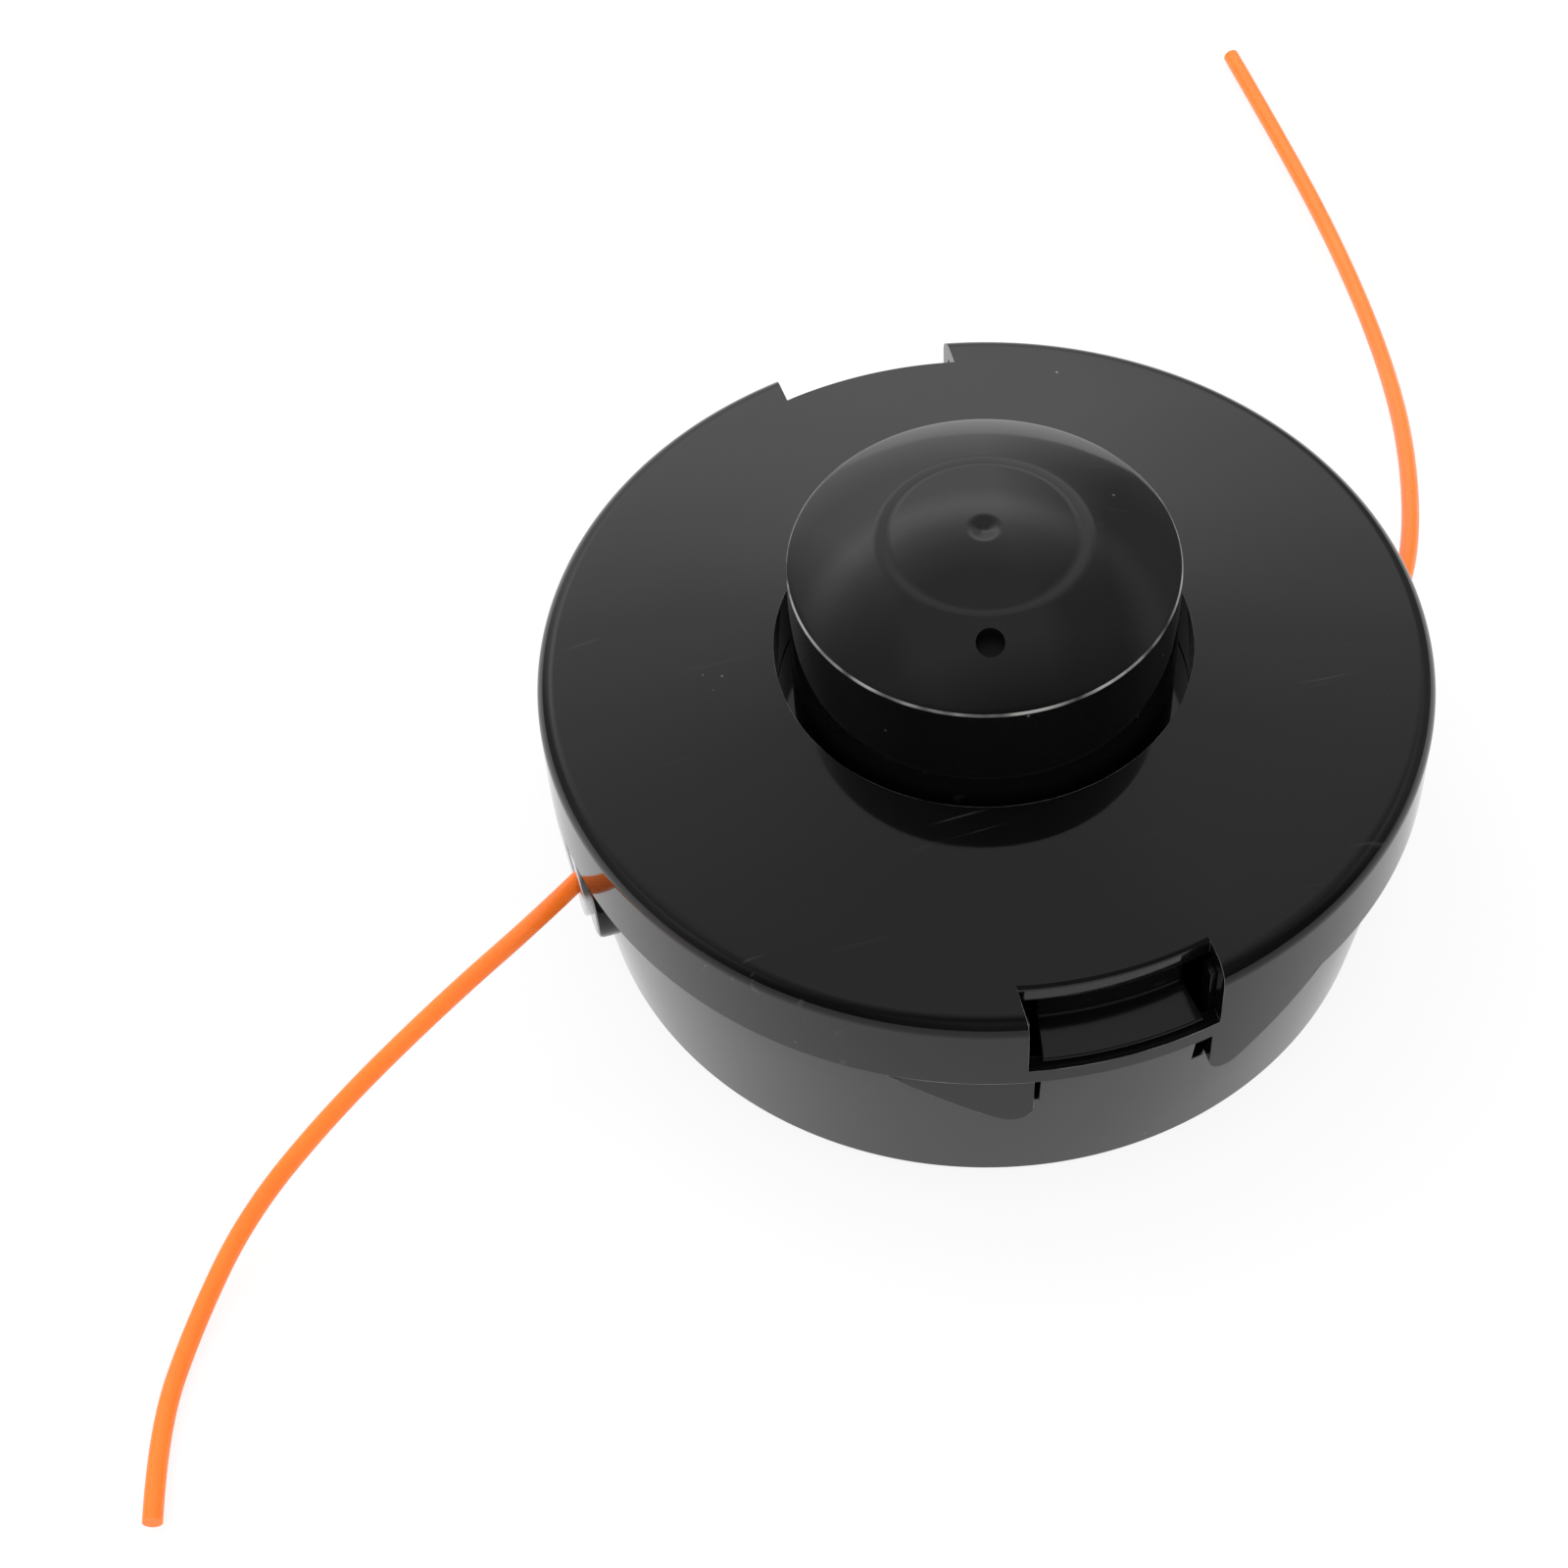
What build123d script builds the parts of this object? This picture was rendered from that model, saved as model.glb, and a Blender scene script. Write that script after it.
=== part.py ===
"""Bump-feed line trimmer head: drum housing, clip-on cover, sprung spool under a bump knob, two line tails.

Units are millimetres, +Z is up, and z = 0 is the rim that the drum stands on.
The line leaves along X and the cover's two latches face -Y and +Y.
"""
import os
from math import asin, cos, degrees, pi, radians, sin, sqrt, tan

from build123d import *

# Cover
cover_radius = 55.0
cover_plate = 2.4
skirt_wall = 2.0
skirt_bottom = 27.5
cover_edge_height = 39.2
cover_hole_height = 41.4
cover_hole_clearance = 2.1
cover_edge_round = 2.5
collar_wall = 2.4

# Latch windows in the cover and the tongues behind them
window_width = 23.2
window_depth = 4.9
sill_height = 2.3
window_edge_round = 0.7
tongue_width = 19.0
tongue_wall = 2.2
tongue_setback = 3.8
slit_width = 1.3
slit_bottom = 20.0
hook_reach = 1.4
hook_height = 1.8
hook_nose = 0.6
latch_clearance = 0.3

# Drum housing
drum_inset = 3.6
foot_round = 0.8
shoulder_step = 1.4
shoulder_gap = 0.3
drum_wall = 2.4
rim_clearance = 0.3
rim_top_clearance = 0.4
floor_bottom = 5.4
floor_thickness = 2.6
underside_rib_count = 12
underside_rib_wall = 1.8
underside_rib_rise = 1.2
pad_outer = 27.2
pad_drop = 9.9
pad_round = 2.5
pad_setback = 0.2

# Hub, post and drive nut
hub_radius = 14.0
hub_rise = 0.8
post_radius = 9.0
post_top = 46.0
post_bore_clearance = 0.18
post_cap = 6.0
spring_seat_clearance = 0.4
spring_seat_rise = 2.0
nut_sides = 6
nut_across_flats = 17.0
nut_thickness = 9.0
nut_thread_radius = 4.32
nut_chamfer = 0.6
nut_clearance = 0.15

# Spool and the knob on it
press_travel = 6.0
spool_clearance = 0.3
sleeve_wall = 1.6
flange_gap = 4.8
flange_thickness = 2.0
flange_bottom = 16.4
divider_thickness = 1.2
channel_height = 5.2
park_slot_width = 2.8
park_slot_depth = 5.0
park_slot_turn = 30.0
knob_radius = 23.5
knob_wall = 3.0
knob_rim_height = 55.7
knob_dome_rise = 6.4
knob_dome_wall = 2.8
knob_rim_round = 0.35
knob_ring_radius = 12.4
knob_ring_depth = 0.35
gate_radius = 1.5
gate_depth = 0.5
knob_dot_radius = 1.7
knob_dot_reach = 15.6
knob_dot_depth = 0.8
knob_dot_turn = -105.0
spool_rib_count = 6
spool_rib_wall = 1.8
spigot_height = 8.0
spigot_wall = 1.6
spigot_clearance = 0.3

# Indexing dogs
dog_count = 6
dog_inner_gap = 3.0
dog_outer_gap = 4.5
dog_angle = 8.0
upper_dog_height = 3.4
cover_dog_gap = 1.6
upper_dog_turn = -20.0
lower_dog_height = 1.6
floor_dog_height = 2.0
lower_dog_turn = 20.0

# Spring and washer
spring_wire = 1.6
spring_radius = 14.6
spring_coils = 5
washer_thickness = 1.2
washer_clearance = 0.3
spring_clearance = 0.1

# Wound line, eyelets and tails
line_diameter = 2.4
wound_layers = 6
wound_clearance = 0.1
eyelet_height = 20.0
eyelet_boss_width = 26.0
eyelet_boss_height = 11.0
eyelet_boss_rise = 0.75
eyelet_width = 19.0
eyelet_flange_height = 8.6
eyelet_flange = 0.9
eyelet_body_width = 16.4
eyelet_body_height = 6.2
eyelet_slot_width = 13.6
eyelet_slot_height = 3.4
eyelet_round = 0.4
eyelet_clearance = 0.1
tail_bend_share = 0.45
left_tail_route = [
    (-50.6, -2.4, 20.0),
    (-58.4, -8.0, 19.9),
    (-74.0, -15.5, 16.6),
    (-90.0, -22.8, 10.5),
    (-103.0, -30.5, 4.5),
    (-112.0, -42.0, 1.3),
    (-118.0, -54.0, 1.3),
    (-120.3, -65.3, 1.3),
]
right_tail_route = [
    (50.6, -1.5, 20.0),
    (57.0, 4.5, 19.9),
    (65.6, 16.5, 17.6),
    (74.7, 38.8, 12.6),
    (81.0, 62.0, 7.0),
    (85.1, 88.0, 2.8),
    (86.5, 113.0, 1.3),
    (86.3, 138.0, 1.3),
]

# Derived heights and radii
shoulder_radius = cover_radius - shoulder_step
foot_radius = shoulder_radius - drum_inset
cover_hole_radius = knob_radius + cover_hole_clearance
collar_outer = cover_hole_radius + collar_wall
window_sill = skirt_bottom + sill_height
shoulder_height = skirt_bottom - shoulder_gap
skirt_inner = cover_radius - skirt_wall
rim_radius = skirt_inner - rim_clearance
rim_inner = rim_radius - drum_wall
flange_radius = rim_inner - flange_gap
dog_inner_radius = collar_outer + dog_inner_gap
dog_outer_radius = flange_radius - dog_outer_gap
window_inner = cover_radius - window_depth
crown_slope = (cover_hole_height - cover_edge_height) / (cover_radius - cover_hole_radius)
rim_top = cover_edge_height - cover_plate - rim_top_clearance
floor_top = floor_bottom + floor_thickness
divider_bottom = flange_bottom + flange_thickness + channel_height
upper_flange_bottom = divider_bottom + divider_thickness + channel_height
spool_top = upper_flange_bottom + flange_thickness
collar_bottom = spool_top + spool_clearance
sleeve_inner = post_radius + spool_clearance
sleeve_outer = sleeve_inner + sleeve_wall
knob_inner = knob_radius - knob_wall
knob_top = knob_rim_height + knob_dome_rise
dome_radius = (knob_radius**2 + knob_dome_rise**2) / (2 * knob_dome_rise)
spigot_radius = knob_inner - spigot_clearance
spigot_inner = spigot_radius - spigot_wall
spigot_top = spool_top + spigot_height
spring_seat_radius = spring_radius - spring_wire / 2 - spring_seat_clearance
post_bore_radius = nut_thread_radius + post_bore_clearance
post_bore_top = post_top - post_cap
washer_top = upper_flange_bottom - spring_clearance
washer_bottom = washer_top - washer_thickness
drum_taper = (shoulder_radius - foot_radius) / shoulder_height
pad_radius = cover_radius - pad_setback
pad_inner = tongue_width / 2 + slit_width
pad_bottom = shoulder_height - pad_drop
hook_bottom = window_sill + latch_clearance
panel_radius = rim_radius - tongue_setback
latch_turns = (-90, 90)
eyelet_turns = {"right": 0, "left": 180}


def cover_top(radius):
    """Height of the cover's crowned top at a radius."""
    return cover_edge_height + crown_slope * (cover_radius - radius)


def drum_radius(height):
    """Outer radius of the tapered drum at a height below the shoulder."""
    return foot_radius + drum_taper * height


def dome_height(radius):
    """Height of the knob's domed top at a radius."""
    return knob_top - dome_radius + sqrt(dome_radius**2 - radius**2)


def section_plane(turn):
    """Upright plane through the axis: its x runs outward at that angle, its y runs up."""
    outward = (cos(radians(turn)), sin(radians(turn)), 0)
    return Plane(origin=(0, 0, 0), x_dir=outward, z_dir=(outward[1], -outward[0], 0))


def facing_plane(turn):
    """Upright plane through the axis that faces outward at that angle; its y runs up."""
    outward = (cos(radians(turn)), sin(radians(turn)), 0)
    return Plane(origin=(0, 0, 0), x_dir=(-outward[1], outward[0], 0), z_dir=outward)


def dog_ring(bottom, top, turn):
    """A ring of square dogs; turn is the angle of the first dog's middle, in degrees."""
    with BuildPart() as dogs:
        with BuildSketch(Plane.XY.offset(bottom)):
            Circle(dog_outer_radius)
            Circle(dog_inner_radius, mode=Mode.SUBTRACT)
            with BuildSketch(mode=Mode.INTERSECT):
                with PolarLocations(0, dog_count, start_angle=turn):
                    reach = 2 * dog_outer_radius
                    spread = reach * tan(radians(dog_angle / 2))
                    Polygon((0, 0), (reach, -spread), (reach, spread), align=None)
        extrude(amount=top - bottom)
    return dogs.part


os.makedirs("parts", exist_ok=True)
eyelet_boss_reach = drum_radius(eyelet_height) + eyelet_boss_rise
floor_dogs = dog_ring(floor_top, floor_top + floor_dog_height, 0)
cover_dogs = dog_ring(spool_top + cover_dog_gap, cover_top(dog_inner_radius) - cover_plate / 2, 0)
upper_dogs = dog_ring(spool_top, spool_top + upper_dog_height, upper_dog_turn)
lower_dogs = dog_ring(flange_bottom - lower_dog_height, flange_bottom, lower_dog_turn)

# Raised pads beside the latches: slices of a ring, cut to a triangle with a rounded lower corner
with BuildPart() as pads:
    with BuildSketch(Plane.XZ):
        with BuildLine():
            Polyline(
                (drum_radius(pad_bottom) - drum_wall / 2, pad_bottom),
                (pad_radius, pad_bottom),
                (pad_radius, shoulder_height),
                (drum_radius(pad_bottom) - drum_wall / 2, shoulder_height),
                close=True,
            )
        make_face()
    revolve(axis=Axis.Z)
    with BuildSketch(Plane.XZ):
        for side in (1, -1):
            with BuildSketch(mode=Mode.ADD) as outline:
                Polygon(
                    (side * pad_inner, shoulder_height),
                    (side * pad_inner, pad_bottom),
                    (side * pad_outer, shoulder_height),
                    align=None,
                )
                fillet(outline.vertices().group_by(Axis.Y)[0], pad_round)
    extrude(amount=cover_radius, both=True, mode=Mode.INTERSECT)

# Housing: one moulding with drum, floor, hub, post, latch tongues, pads and eyelet bosses
with BuildPart() as housing:
    with BuildSketch(Plane.XZ):
        with BuildLine():
            Polyline(
                (0, post_bore_top),
                (0, post_top),
                (post_radius, post_top),
                (post_radius, floor_top + spring_seat_rise),
                (spring_seat_radius, floor_top + spring_seat_rise),
                (spring_seat_radius, floor_top),
                (drum_radius(floor_top) - drum_wall, floor_top),
                (rim_inner, shoulder_height - drum_wall),
                (rim_inner, rim_top),
                (rim_radius, rim_top),
                (rim_radius, shoulder_height),
                (shoulder_radius, shoulder_height),
                (foot_radius, 0),
                (foot_radius - drum_wall, 0),
                (drum_radius(floor_bottom) - drum_wall, floor_bottom),
                (hub_radius, floor_bottom),
                (hub_radius, hub_rise),
                (post_bore_radius, hub_rise),
                (post_bore_radius, post_bore_top),
                close=True,
            )
        make_face()
    revolve(axis=Axis.Z)
    fillet(housing.edges().group_by(Axis.Z)[0].sort_by(SortBy.LENGTH)[-1], foot_round)
    with BuildSketch(Plane.XY.offset(underside_rib_rise)):
        rib_start = hub_radius - drum_wall / 2
        rib_end = foot_radius - drum_wall / 2
        with PolarLocations((rib_start + rib_end) / 2, underside_rib_count):
            Rectangle(rib_end - rib_start, underside_rib_wall)
    extrude(amount=floor_bottom - underside_rib_rise)
    with BuildSketch(Plane.XY.offset(hub_rise)):
        RegularPolygon(nut_across_flats / 2 + nut_clearance, nut_sides, major_radius=False)
    extrude(amount=nut_thickness, mode=Mode.SUBTRACT)
    for latch_turn in latch_turns:
        with BuildSketch(facing_plane(latch_turn).offset(flange_radius)):
            with Locations((0, (slit_bottom + cover_edge_height) / 2)):
                Rectangle(2 * pad_inner, cover_edge_height - slit_bottom)
        extrude(amount=cover_radius - flange_radius, mode=Mode.SUBTRACT)
    add(floor_dogs)
    add(pads.part)
    for eyelet_turn in eyelet_turns.values():
        with BuildSketch(facing_plane(eyelet_turn).offset(eyelet_boss_reach)):
            with Locations((0, eyelet_height)):
                SlotOverall(eyelet_boss_width, eyelet_boss_height)
        extrude(amount=rim_inner - eyelet_boss_reach)
    for eyelet_turn in eyelet_turns.values():
        with BuildSketch(facing_plane(eyelet_turn).offset(eyelet_boss_reach)):
            with Locations((0, eyelet_height)):
                SlotOverall(eyelet_body_width + 2 * eyelet_clearance, eyelet_body_height + 2 * eyelet_clearance)
        extrude(amount=flange_radius - eyelet_boss_reach, mode=Mode.SUBTRACT)
    tongue_angle = 2 * degrees(asin(tongue_width / 2 / rim_radius))
    for latch_turn in latch_turns:
        with BuildSketch(section_plane(latch_turn - tongue_angle / 2)):
            with BuildLine():
                Polyline(
                    (drum_radius(slit_bottom) - drum_wall, slit_bottom),
                    (drum_radius(slit_bottom), slit_bottom),
                    (shoulder_radius, shoulder_height),
                    (rim_radius, shoulder_height),
                    (rim_radius, hook_bottom),
                    (rim_radius + hook_reach, hook_bottom),
                    (rim_radius + hook_reach, hook_bottom + hook_nose),
                    (panel_radius, hook_bottom + hook_height),
                    (panel_radius, rim_top),
                    (panel_radius - tongue_wall, rim_top),
                    (panel_radius - tongue_wall, hook_bottom),
                    (rim_inner, shoulder_height - drum_wall),
                    close=True,
                )
            make_face()
        revolve(axis=Axis.Z, revolution_arc=tongue_angle)
housing.part.label = "housing"
export_step(housing.part, "parts/housing.step")

# Steel drive nut in the hub's hexagonal pocket
with BuildPart() as drive_nut:
    with BuildSketch(Plane.XY.offset(hub_rise)):
        RegularPolygon(nut_across_flats / 2, nut_sides, major_radius=False)
        Circle(nut_thread_radius, mode=Mode.SUBTRACT)
    extrude(amount=nut_thickness)
    chamfer(drive_nut.edges().filter_by(GeomType.CIRCLE).group_by(Axis.Z)[0], nut_chamfer)
drive_nut.part.label = "drive_nut"
export_step(drive_nut.part, "parts/drive_nut.step")

# Cutter for the two latch windows: a bar across the cover, kept outside the windows' inner wall
with BuildPart() as window_cutter:
    cutter_top = cover_hole_height + cover_plate
    with BuildSketch(Plane.XZ):
        with Locations((0, (window_sill + cutter_top) / 2)):
            Rectangle(window_width, cutter_top - window_sill)
    extrude(amount=cover_radius + cover_plate, both=True)
    with BuildSketch(Plane.XY.offset(window_sill)):
        Circle(window_inner)
    extrude(amount=cutter_top - window_sill, mode=Mode.SUBTRACT)

# Cover: crowned plate with a skirt, a thrust collar round its hole, and dogs underneath
with BuildPart() as cover:
    with BuildSketch(Plane.XZ):
        with BuildLine():
            Polyline(
                (cover_radius, skirt_bottom),
                (cover_radius, cover_edge_height),
                (cover_hole_radius, cover_hole_height),
                (cover_hole_radius, collar_bottom),
                (collar_outer, collar_bottom),
                (collar_outer, cover_top(collar_outer) - cover_plate),
                (skirt_inner, cover_top(skirt_inner) - cover_plate),
                (skirt_inner, skirt_bottom),
                close=True,
            )
        make_face()
    revolve(axis=Axis.Z)
    top_rings = cover.edges().filter_by(GeomType.CIRCLE).sort_by(SortBy.RADIUS)
    fillet(top_rings.filter_by_position(Axis.Z, cover_edge_height, cover_edge_height)[-1], cover_edge_round)
    add(cover_dogs)
    add(window_cutter.part, mode=Mode.SUBTRACT)
    round_edges = cover.edges().filter_by(GeomType.CIRCLE)
    window_arcs = round_edges.filter_by(lambda edge: abs(edge.radius - window_inner) < window_edge_round / 2)
    fillet(window_arcs.group_by(Axis.Z)[-1], window_edge_round)
cover.part.label = "cover"
export_step(cover.part, "parts/cover.step")

# Spool: a bobbin with two channels, a sleeve that slides and turns on the post, and a spigot for the knob
with BuildPart() as bump_spool:
    with BuildSketch(Plane.XZ):
        with BuildLine():
            Polyline(
                (spigot_inner, upper_flange_bottom),
                (spigot_inner, spigot_top),
                (spigot_radius, spigot_top),
                (spigot_radius, spool_top),
                (flange_radius, spool_top),
                (flange_radius, upper_flange_bottom),
                (knob_radius, upper_flange_bottom),
                (knob_radius, divider_bottom + divider_thickness),
                (flange_radius, divider_bottom + divider_thickness),
                (flange_radius, divider_bottom),
                (knob_radius, divider_bottom),
                (knob_radius, flange_bottom + flange_thickness),
                (flange_radius, flange_bottom + flange_thickness),
                (flange_radius, flange_bottom),
                (knob_inner, flange_bottom),
                (knob_inner, upper_flange_bottom),
                close=True,
            )
        make_face()
    revolve(axis=Axis.Z)
    with BuildSketch(Plane.XY.offset(flange_bottom)):
        Circle(sleeve_outer)
        Circle(sleeve_inner, mode=Mode.SUBTRACT)
    extrude(amount=spigot_top - flange_bottom)
    with BuildSketch(Plane.XY.offset(upper_flange_bottom)):
        rib_start = sleeve_outer - sleeve_wall / 2
        rib_end = spigot_inner + spigot_wall / 2
        with PolarLocations((rib_start + rib_end) / 2, spool_rib_count):
            Rectangle(rib_end - rib_start, spool_rib_wall)
    extrude(amount=spigot_height)
    add(upper_dogs)
    add(lower_dogs)
    with BuildSketch(Plane.XY.offset(flange_bottom)):
        with PolarLocations(flange_radius - park_slot_depth / 2, 2, start_angle=park_slot_turn):
            SlotOverall(2 * park_slot_depth, park_slot_width)
    extrude(amount=spool_top - flange_bottom, mode=Mode.SUBTRACT)
bump_spool.part.label = "bump_spool"
export_step(bump_spool.part, "parts/bump_spool.step")

# Bump knob: a domed cup pressed over the spool's spigot, with a shallow round panel and the gate's dimple
with BuildPart() as bump_knob:
    with BuildSketch(Plane.XZ):
        with BuildLine():
            Polyline(
                (0, knob_top),
                (0, knob_top - knob_dome_wall),
            )
            ThreePointArc(
                (0, knob_top - knob_dome_wall),
                (knob_inner / 2, dome_height(knob_inner / 2) - knob_dome_wall),
                (knob_inner, dome_height(knob_inner) - knob_dome_wall),
            )
            Polyline(
                (knob_inner, dome_height(knob_inner) - knob_dome_wall),
                (knob_inner, spool_top),
                (knob_radius, spool_top),
                (knob_radius, knob_rim_height),
            )
            ThreePointArc(
                (knob_radius, knob_rim_height),
                (knob_radius / 2, dome_height(knob_radius / 2)),
                (0, knob_top),
            )
        make_face()
    revolve(axis=Axis.Z)
    knob_rings = bump_knob.edges().filter_by(GeomType.CIRCLE)
    fillet(knob_rings.filter_by_position(Axis.Z, knob_rim_height, knob_rim_height), knob_rim_round)
    with BuildSketch(Plane.XZ):
        with BuildLine():
            Polyline(
                (0, knob_top - knob_ring_depth),
                (0, knob_top + knob_ring_depth),
                (knob_ring_radius, knob_top + knob_ring_depth),
                (knob_ring_radius, dome_height(knob_ring_radius) - knob_ring_depth),
            )
            ThreePointArc(
                (knob_ring_radius, dome_height(knob_ring_radius) - knob_ring_depth),
                (knob_ring_radius / 2, dome_height(knob_ring_radius / 2) - knob_ring_depth),
                (0, knob_top - knob_ring_depth),
            )
        make_face()
    revolve(axis=Axis.Z, mode=Mode.SUBTRACT)
    with BuildSketch(Plane.XY.offset(knob_top)):
        Circle(gate_radius)
    extrude(amount=-knob_ring_depth - gate_depth, mode=Mode.SUBTRACT)
    with BuildSketch(Plane.XY.offset(knob_top)):
        with PolarLocations(knob_dot_reach, 1, start_angle=knob_dot_turn):
            Circle(knob_dot_radius)
    extrude(amount=dome_height(knob_dot_reach) - knob_top - knob_dot_depth, mode=Mode.SUBTRACT)
bump_knob.part.label = "bump_knob"
export_step(bump_knob.part, "parts/bump_knob.step")

# Line wound in each of the spool's two channels: full layers whose outer turns show as ridges
wound_radius = knob_radius + wound_clearance + line_diameter * wound_layers * sqrt(3) / 2
turns_per_channel = int(channel_height / line_diameter)
winding_height = turns_per_channel * line_diameter
for name, channel_bottom in (
    ("wound_line_lower", flange_bottom + flange_thickness),
    ("wound_line_upper", divider_bottom + divider_thickness),
):
    winding_bottom = channel_bottom + (channel_height - winding_height) / 2
    with BuildPart() as winding:
        with BuildSketch(Plane.XZ):
            with BuildLine():
                Polyline(
                    (wound_radius, winding_bottom + winding_height),
                    (knob_radius + wound_clearance, winding_bottom + winding_height),
                    (knob_radius + wound_clearance, winding_bottom),
                    (wound_radius, winding_bottom),
                )
                for turn in range(turns_per_channel):
                    turn_bottom = winding_bottom + turn * line_diameter
                    ThreePointArc(
                        (wound_radius, turn_bottom),
                        (wound_radius + line_diameter / 2, turn_bottom + line_diameter / 2),
                        (wound_radius, turn_bottom + line_diameter),
                    )
            make_face()
        revolve(axis=Axis.Z)
    winding.part.label = name
    export_step(winding.part, f"parts/{name}.step")

# Washer that the spring pushes against, under the spool's ribs
with BuildPart() as thrust_washer:
    with BuildSketch(Plane.XY.offset(washer_bottom)):
        Circle(knob_inner - washer_clearance)
        Circle(sleeve_outer + washer_clearance, mode=Mode.SUBTRACT)
    extrude(amount=washer_thickness)
thrust_washer.part.label = "thrust_washer"
export_step(thrust_washer.part, "parts/thrust_washer.step")

# Compression spring round the post
with BuildPart() as compression_spring:
    spring_start = floor_top + spring_clearance + spring_wire / 2
    spring_rise = washer_bottom - spring_clearance - spring_wire / 2 - spring_start
    with BuildLine(Plane.XY.offset(spring_start)):
        coil = Helix(spring_rise / spring_coils, spring_rise, spring_radius)
    with BuildSketch(Plane(origin=coil @ 0, z_dir=coil % 0)):
        Circle(spring_wire / 2)
    sweep(path=coil)
compression_spring.part.label = "compression_spring"
export_step(compression_spring.part, "parts/compression_spring.step")

# Flanged metal eyelets that the line runs out through
for side, eyelet_turn in eyelet_turns.items():
    plane = facing_plane(eyelet_turn)
    with BuildPart() as eyelet:
        with BuildSketch(plane.offset(eyelet_boss_reach)):
            with Locations((0, eyelet_height)):
                SlotOverall(eyelet_width, eyelet_flange_height)
        extrude(amount=eyelet_flange)
        with BuildSketch(plane.offset(eyelet_boss_reach)):
            with Locations((0, eyelet_height)):
                SlotOverall(eyelet_body_width, eyelet_body_height)
        extrude(amount=rim_inner - eyelet_boss_reach)
        with BuildSketch(plane.offset(eyelet_boss_reach + eyelet_flange)):
            with Locations((0, eyelet_height)):
                SlotOverall(eyelet_slot_width, eyelet_slot_height)
        extrude(amount=rim_inner - eyelet_boss_reach - eyelet_flange, mode=Mode.SUBTRACT)
        outer_face = eyelet.faces().filter_by(Axis.X).sort_by(lambda face: abs(face.center().X))[-1]
        fillet(outer_face.edges(), eyelet_round)
    eyelet.part.label = f"eyelet_{side}"
    export_step(eyelet.part, f"parts/eyelet_{side}.step")

# Free tails of line: round tubes along their routes, with arcs as large as the runs allow
for side, route in (("left", left_tail_route), ("right", right_tail_route)):
    points = [Vector(*point) for point in route]
    runs = [end - start for start, end in zip(points, points[1:])]
    bends = []
    for before, after in zip(runs, runs[1:]):
        half_turn = radians(before.get_angle(after)) / 2
        bends.append(tail_bend_share * min(before.length, after.length) / tan(half_turn))
    with BuildPart() as line_tail:
        with BuildLine():
            path = FilletPolyline(*points, radius=bends)
        with BuildSketch(Plane(origin=path @ 0, z_dir=path % 0)):
            Circle(line_diameter / 2)
        sweep(path=path)
    tube_volume = pi * line_diameter**2 / 4 * path.length
    volume_share = line_tail.part.volume / tube_volume
    print(side, "tail: length", round(path.length, 1), "volume share", round(volume_share, 4))
    print(side, "tail: radii", [round(bend, 1) for bend in bends])
    line_tail.part.label = f"line_tail_{side}"
    export_step(line_tail.part, f"parts/line_tail_{side}.step")
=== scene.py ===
"""Looks of a bump-feed line trimmer head that lies knob up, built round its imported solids, in metres."""
from math import asin, cos, pi, radians, sin, sqrt, tan

import bmesh
import bpy
from mathutils import Matrix, Vector


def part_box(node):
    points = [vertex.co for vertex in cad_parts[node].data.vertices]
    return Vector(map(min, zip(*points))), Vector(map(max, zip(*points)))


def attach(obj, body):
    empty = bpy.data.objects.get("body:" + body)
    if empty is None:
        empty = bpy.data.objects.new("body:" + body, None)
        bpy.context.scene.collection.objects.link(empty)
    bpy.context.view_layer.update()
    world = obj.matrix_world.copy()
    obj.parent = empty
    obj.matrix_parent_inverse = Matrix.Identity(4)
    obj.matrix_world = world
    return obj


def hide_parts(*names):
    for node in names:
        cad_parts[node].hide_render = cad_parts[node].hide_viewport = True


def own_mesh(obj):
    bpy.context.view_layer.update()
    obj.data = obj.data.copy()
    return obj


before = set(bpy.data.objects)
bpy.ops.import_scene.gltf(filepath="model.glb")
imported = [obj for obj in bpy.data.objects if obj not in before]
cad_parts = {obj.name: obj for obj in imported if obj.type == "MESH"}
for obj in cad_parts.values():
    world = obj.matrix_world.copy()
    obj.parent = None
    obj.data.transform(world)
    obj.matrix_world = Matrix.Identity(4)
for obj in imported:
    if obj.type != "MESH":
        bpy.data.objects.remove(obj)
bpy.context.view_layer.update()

# Drum housing: the tapered cup that holds the spool on its centre post, moulded in one from black
# nylon together with the latch tongues, the raised pads beside them and the bosses for the eyelets.
# It comes glossy from a polished mould, with ribs under its floor to keep it stiff.
foot_radius = 0.0500
foot_round = 0.0008
shoulder_radius = 0.0536
shoulder_height = 0.0272
drum_wall = 0.0024
rim_radius = 0.0527
rim_inner = rim_radius - drum_wall
rim_top = 0.0364
floor_bottom, floor_top = 0.0054, 0.0080
hub_radius, hub_bottom = 0.0140, 0.0008
post_radius, post_top = 0.0090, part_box("housing")[1].z
post_bore, post_bore_top = 0.0045, 0.0400
seat_radius, seat_top = 0.0134, 0.0100
slit_bottom = 0.0200
slit_edge = 0.0108
slit_depth = 0.0455
tongue_half = 0.0095
tongue_half_angle = asin(tongue_half / rim_radius)
panel_radius, panel_wall = 0.0489, 0.0022
hook_radius, hook_bottom, hook_tip, hook_top = 0.0541, 0.0301, 0.0307, 0.0319
pad_radius = 0.0548
pad_outer, pad_bottom, pad_round = 0.0272, 0.0173, 0.0025
boss_reach, boss_width, boss_height, boss_edge = 0.0534, 0.0260, 0.0110, 0.0006
eyelet_height, eyelet_hole_width, eyelet_hole_height = 0.0200, 0.0166, 0.0064
eyelet_cut = 0.0100
nut_pocket_flats, nut_pocket_top = 0.0173, 0.0098
latch_turns = (-pi / 2, pi / 2)
moulded_edge = 0.00022
sharp_angle = radians(38)


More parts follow.
